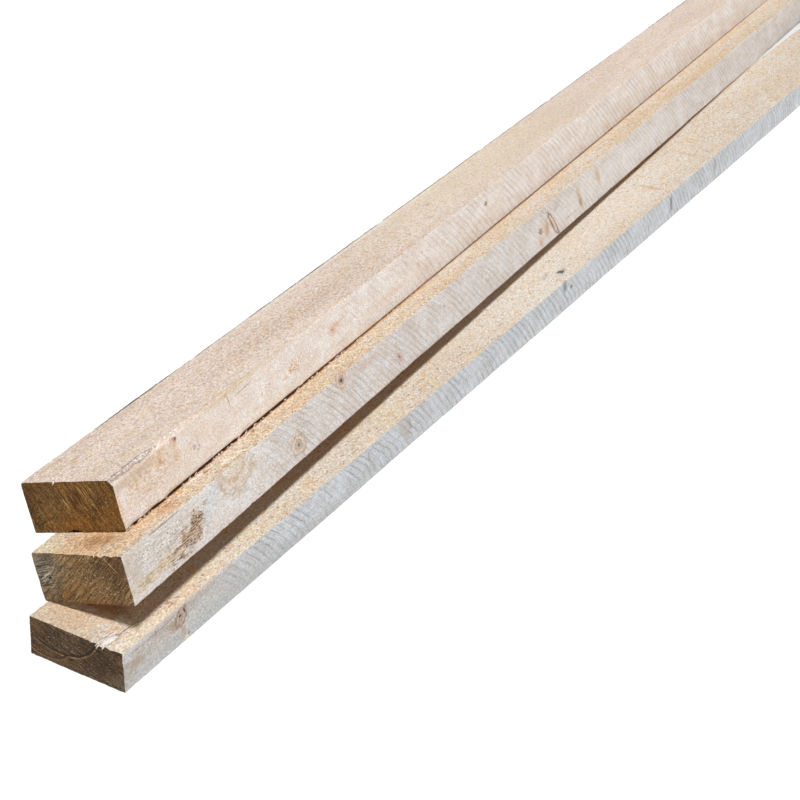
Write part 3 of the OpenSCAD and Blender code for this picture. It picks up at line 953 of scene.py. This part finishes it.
def make_strip(node_name, spec):
    """One finished strip, standing for its CAD node."""
    strip = Strip(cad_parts[node_name])
    points, faces, is_end, skin = sawn_mesh(strip, spec)
    faces = faces.tolist()
    loose = fibres(strip, spec["seed"], *spec["fibres"])
    loose += joint_fibres(strip, spec["seed"], spec.get("joint_fibres", 0))
    loose += [sliver(*flake) for flake in spec["flakes"]]
    for extra, extra_faces in loose:
        faces += (extra_faces + len(points)).tolist()
        points = np.concatenate([points, extra])
        skin = np.concatenate([skin, np.zeros_like(extra)])
    mesh = bpy.data.meshes.new(node_name + "_wood")
    mesh.from_pydata((points * MM).tolist(), [], faces)
    layer = mesh.attributes.new("skin", "FLOAT_VECTOR", "POINT")
    layer.data.foreach_set("vector", skin.astype(np.float32).ravel())
    finish = np.zeros(len(faces), np.int32)
    finish[:len(is_end)] = is_end
    mesh.polygons.foreach_set("material_index", finish)
    mesh.shade_smooth()
    piece = add_object(node_name + "_wood", mesh)
    piece.matrix_world = strip.matrix()
    cover = spec.get("cover") and Strip(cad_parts[spec["cover"]])
    mesh.materials.append(sawn_wood(node_name + "_wood", strip, spec, cover))
    mesh.materials.append(end_grain(node_name + "_end", strip, spec))
    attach(piece, "root")
    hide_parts(node_name)
    node_name.split("_")[0] + "_wood"


for node_name, spec in (("top_strip", TOP), ("middle_strip", MIDDLE), ("bottom_strip", BOTTOM)):
    make_strip(node_name, spec)


# ---- floor, light, camera

FLOOR_HALF, FLOOR_DROP = 12.0, 0.0004      # half its width, and how far under zero it lies (m)
AMBIENT = (0.074, 0.054, 0.034, 1)         # the light of the world on the timber
LENS, SENSOR = 82.45, 36                   # the camera's, in mm
CAMERA_AT = (0.4428, -1.1464, 0.5211)      # in metres
CAMERA_TURNS = ((25.35, "Z"), (60.44, "X"), (6.73, "Z"))  # in degrees, from the outer one in


def seen(g):
    """1 for rays from the camera and for what gloss and glass show."""
    path = g.node("LightPath").outputs
    total = g.plus(path["Is Camera Ray"], path["Is Glossy Ray"])
    return g.math("ADD", total, path["Is Transmission Ray"], clamp=True)


def make_floor():
    """A pale floor that the camera sees as white, but for the shadow on it."""
    mesh = bpy.data.meshes.new("floor")
    mesh.from_pydata([(x * FLOOR_HALF, y * FLOOR_HALF, -FLOOR_DROP)
                      for x, y in ((-1, -1), (1, -1), (1, 1), (-1, 1))], [], [(0, 1, 2, 3)])
    floor = add_object("floor", mesh)
    material = bpy.data.materials.new("floor")
    g = Graph(material)
    real = g.add("BsdfDiffuse", {"Color": (0.75, 0.76, 0.78, 1)})
    faint = g.add("BsdfDiffuse", {"Color": (0.24, 0.24, 0.24, 1)})
    white = g.add("Emission", {"Color": (1, 1, 1, 1), "Strength": 0.8})
    shown = g.add("AddShader", {0: faint, 1: white})
    g.node("OutputMaterial", {"Surface": g.add("MixShader", {0: seen(g), 1: real, 2: shown})})
    mesh.materials.append(material)


def make_world():
    """Soft light all round, which the camera sees as white."""
    world = bpy.data.worlds.new("studio")
    bpy.context.scene.world = world
    g = Graph(world)
    sky = g.add("Background", {"Color": g.mix(seen(g), AMBIENT, (1, 1, 1, 1)), "Strength": 1.0})
    g.node("OutputWorld", {"Surface": sky})


def make_sun(name, travel, strength, width, colour):
    """A distant lamp whose light travels that way; width is its size in degrees."""
    lamp = bpy.data.lights.new(name, "SUN")
    lamp.energy, lamp.angle, lamp.color = strength, math.radians(width), colour
    sun = add_object(name, lamp)
    sun.rotation_mode = "QUATERNION"
    sun.rotation_quaternion = Vector(travel).to_track_quat("-Z", "Y")


def make_camera():
    data = bpy.data.cameras.new("camera")
    data.lens, data.sensor_width = LENS, SENSOR
    data.clip_start, data.clip_end = 0.05, 60
    camera = add_object("camera", data)
    turn = [Matrix.Rotation(math.radians(angle), 4, axis) for angle, axis in CAMERA_TURNS]
    camera.matrix_world = Matrix.Translation(CAMERA_AT) @ turn[0] @ turn[1] @ turn[2]
    bpy.context.scene.camera = camera


make_floor()
make_world()
make_sun("key", (-0.22, 0.40, -1.0), 3.6, 9, (1, 0.985, 0.96))
make_sun("fill", (-1.0, 0.12, -0.06), 1.0, 20, (1, 0.98, 0.95))
make_camera()
bpy.context.scene.view_settings.view_transform = "Standard"
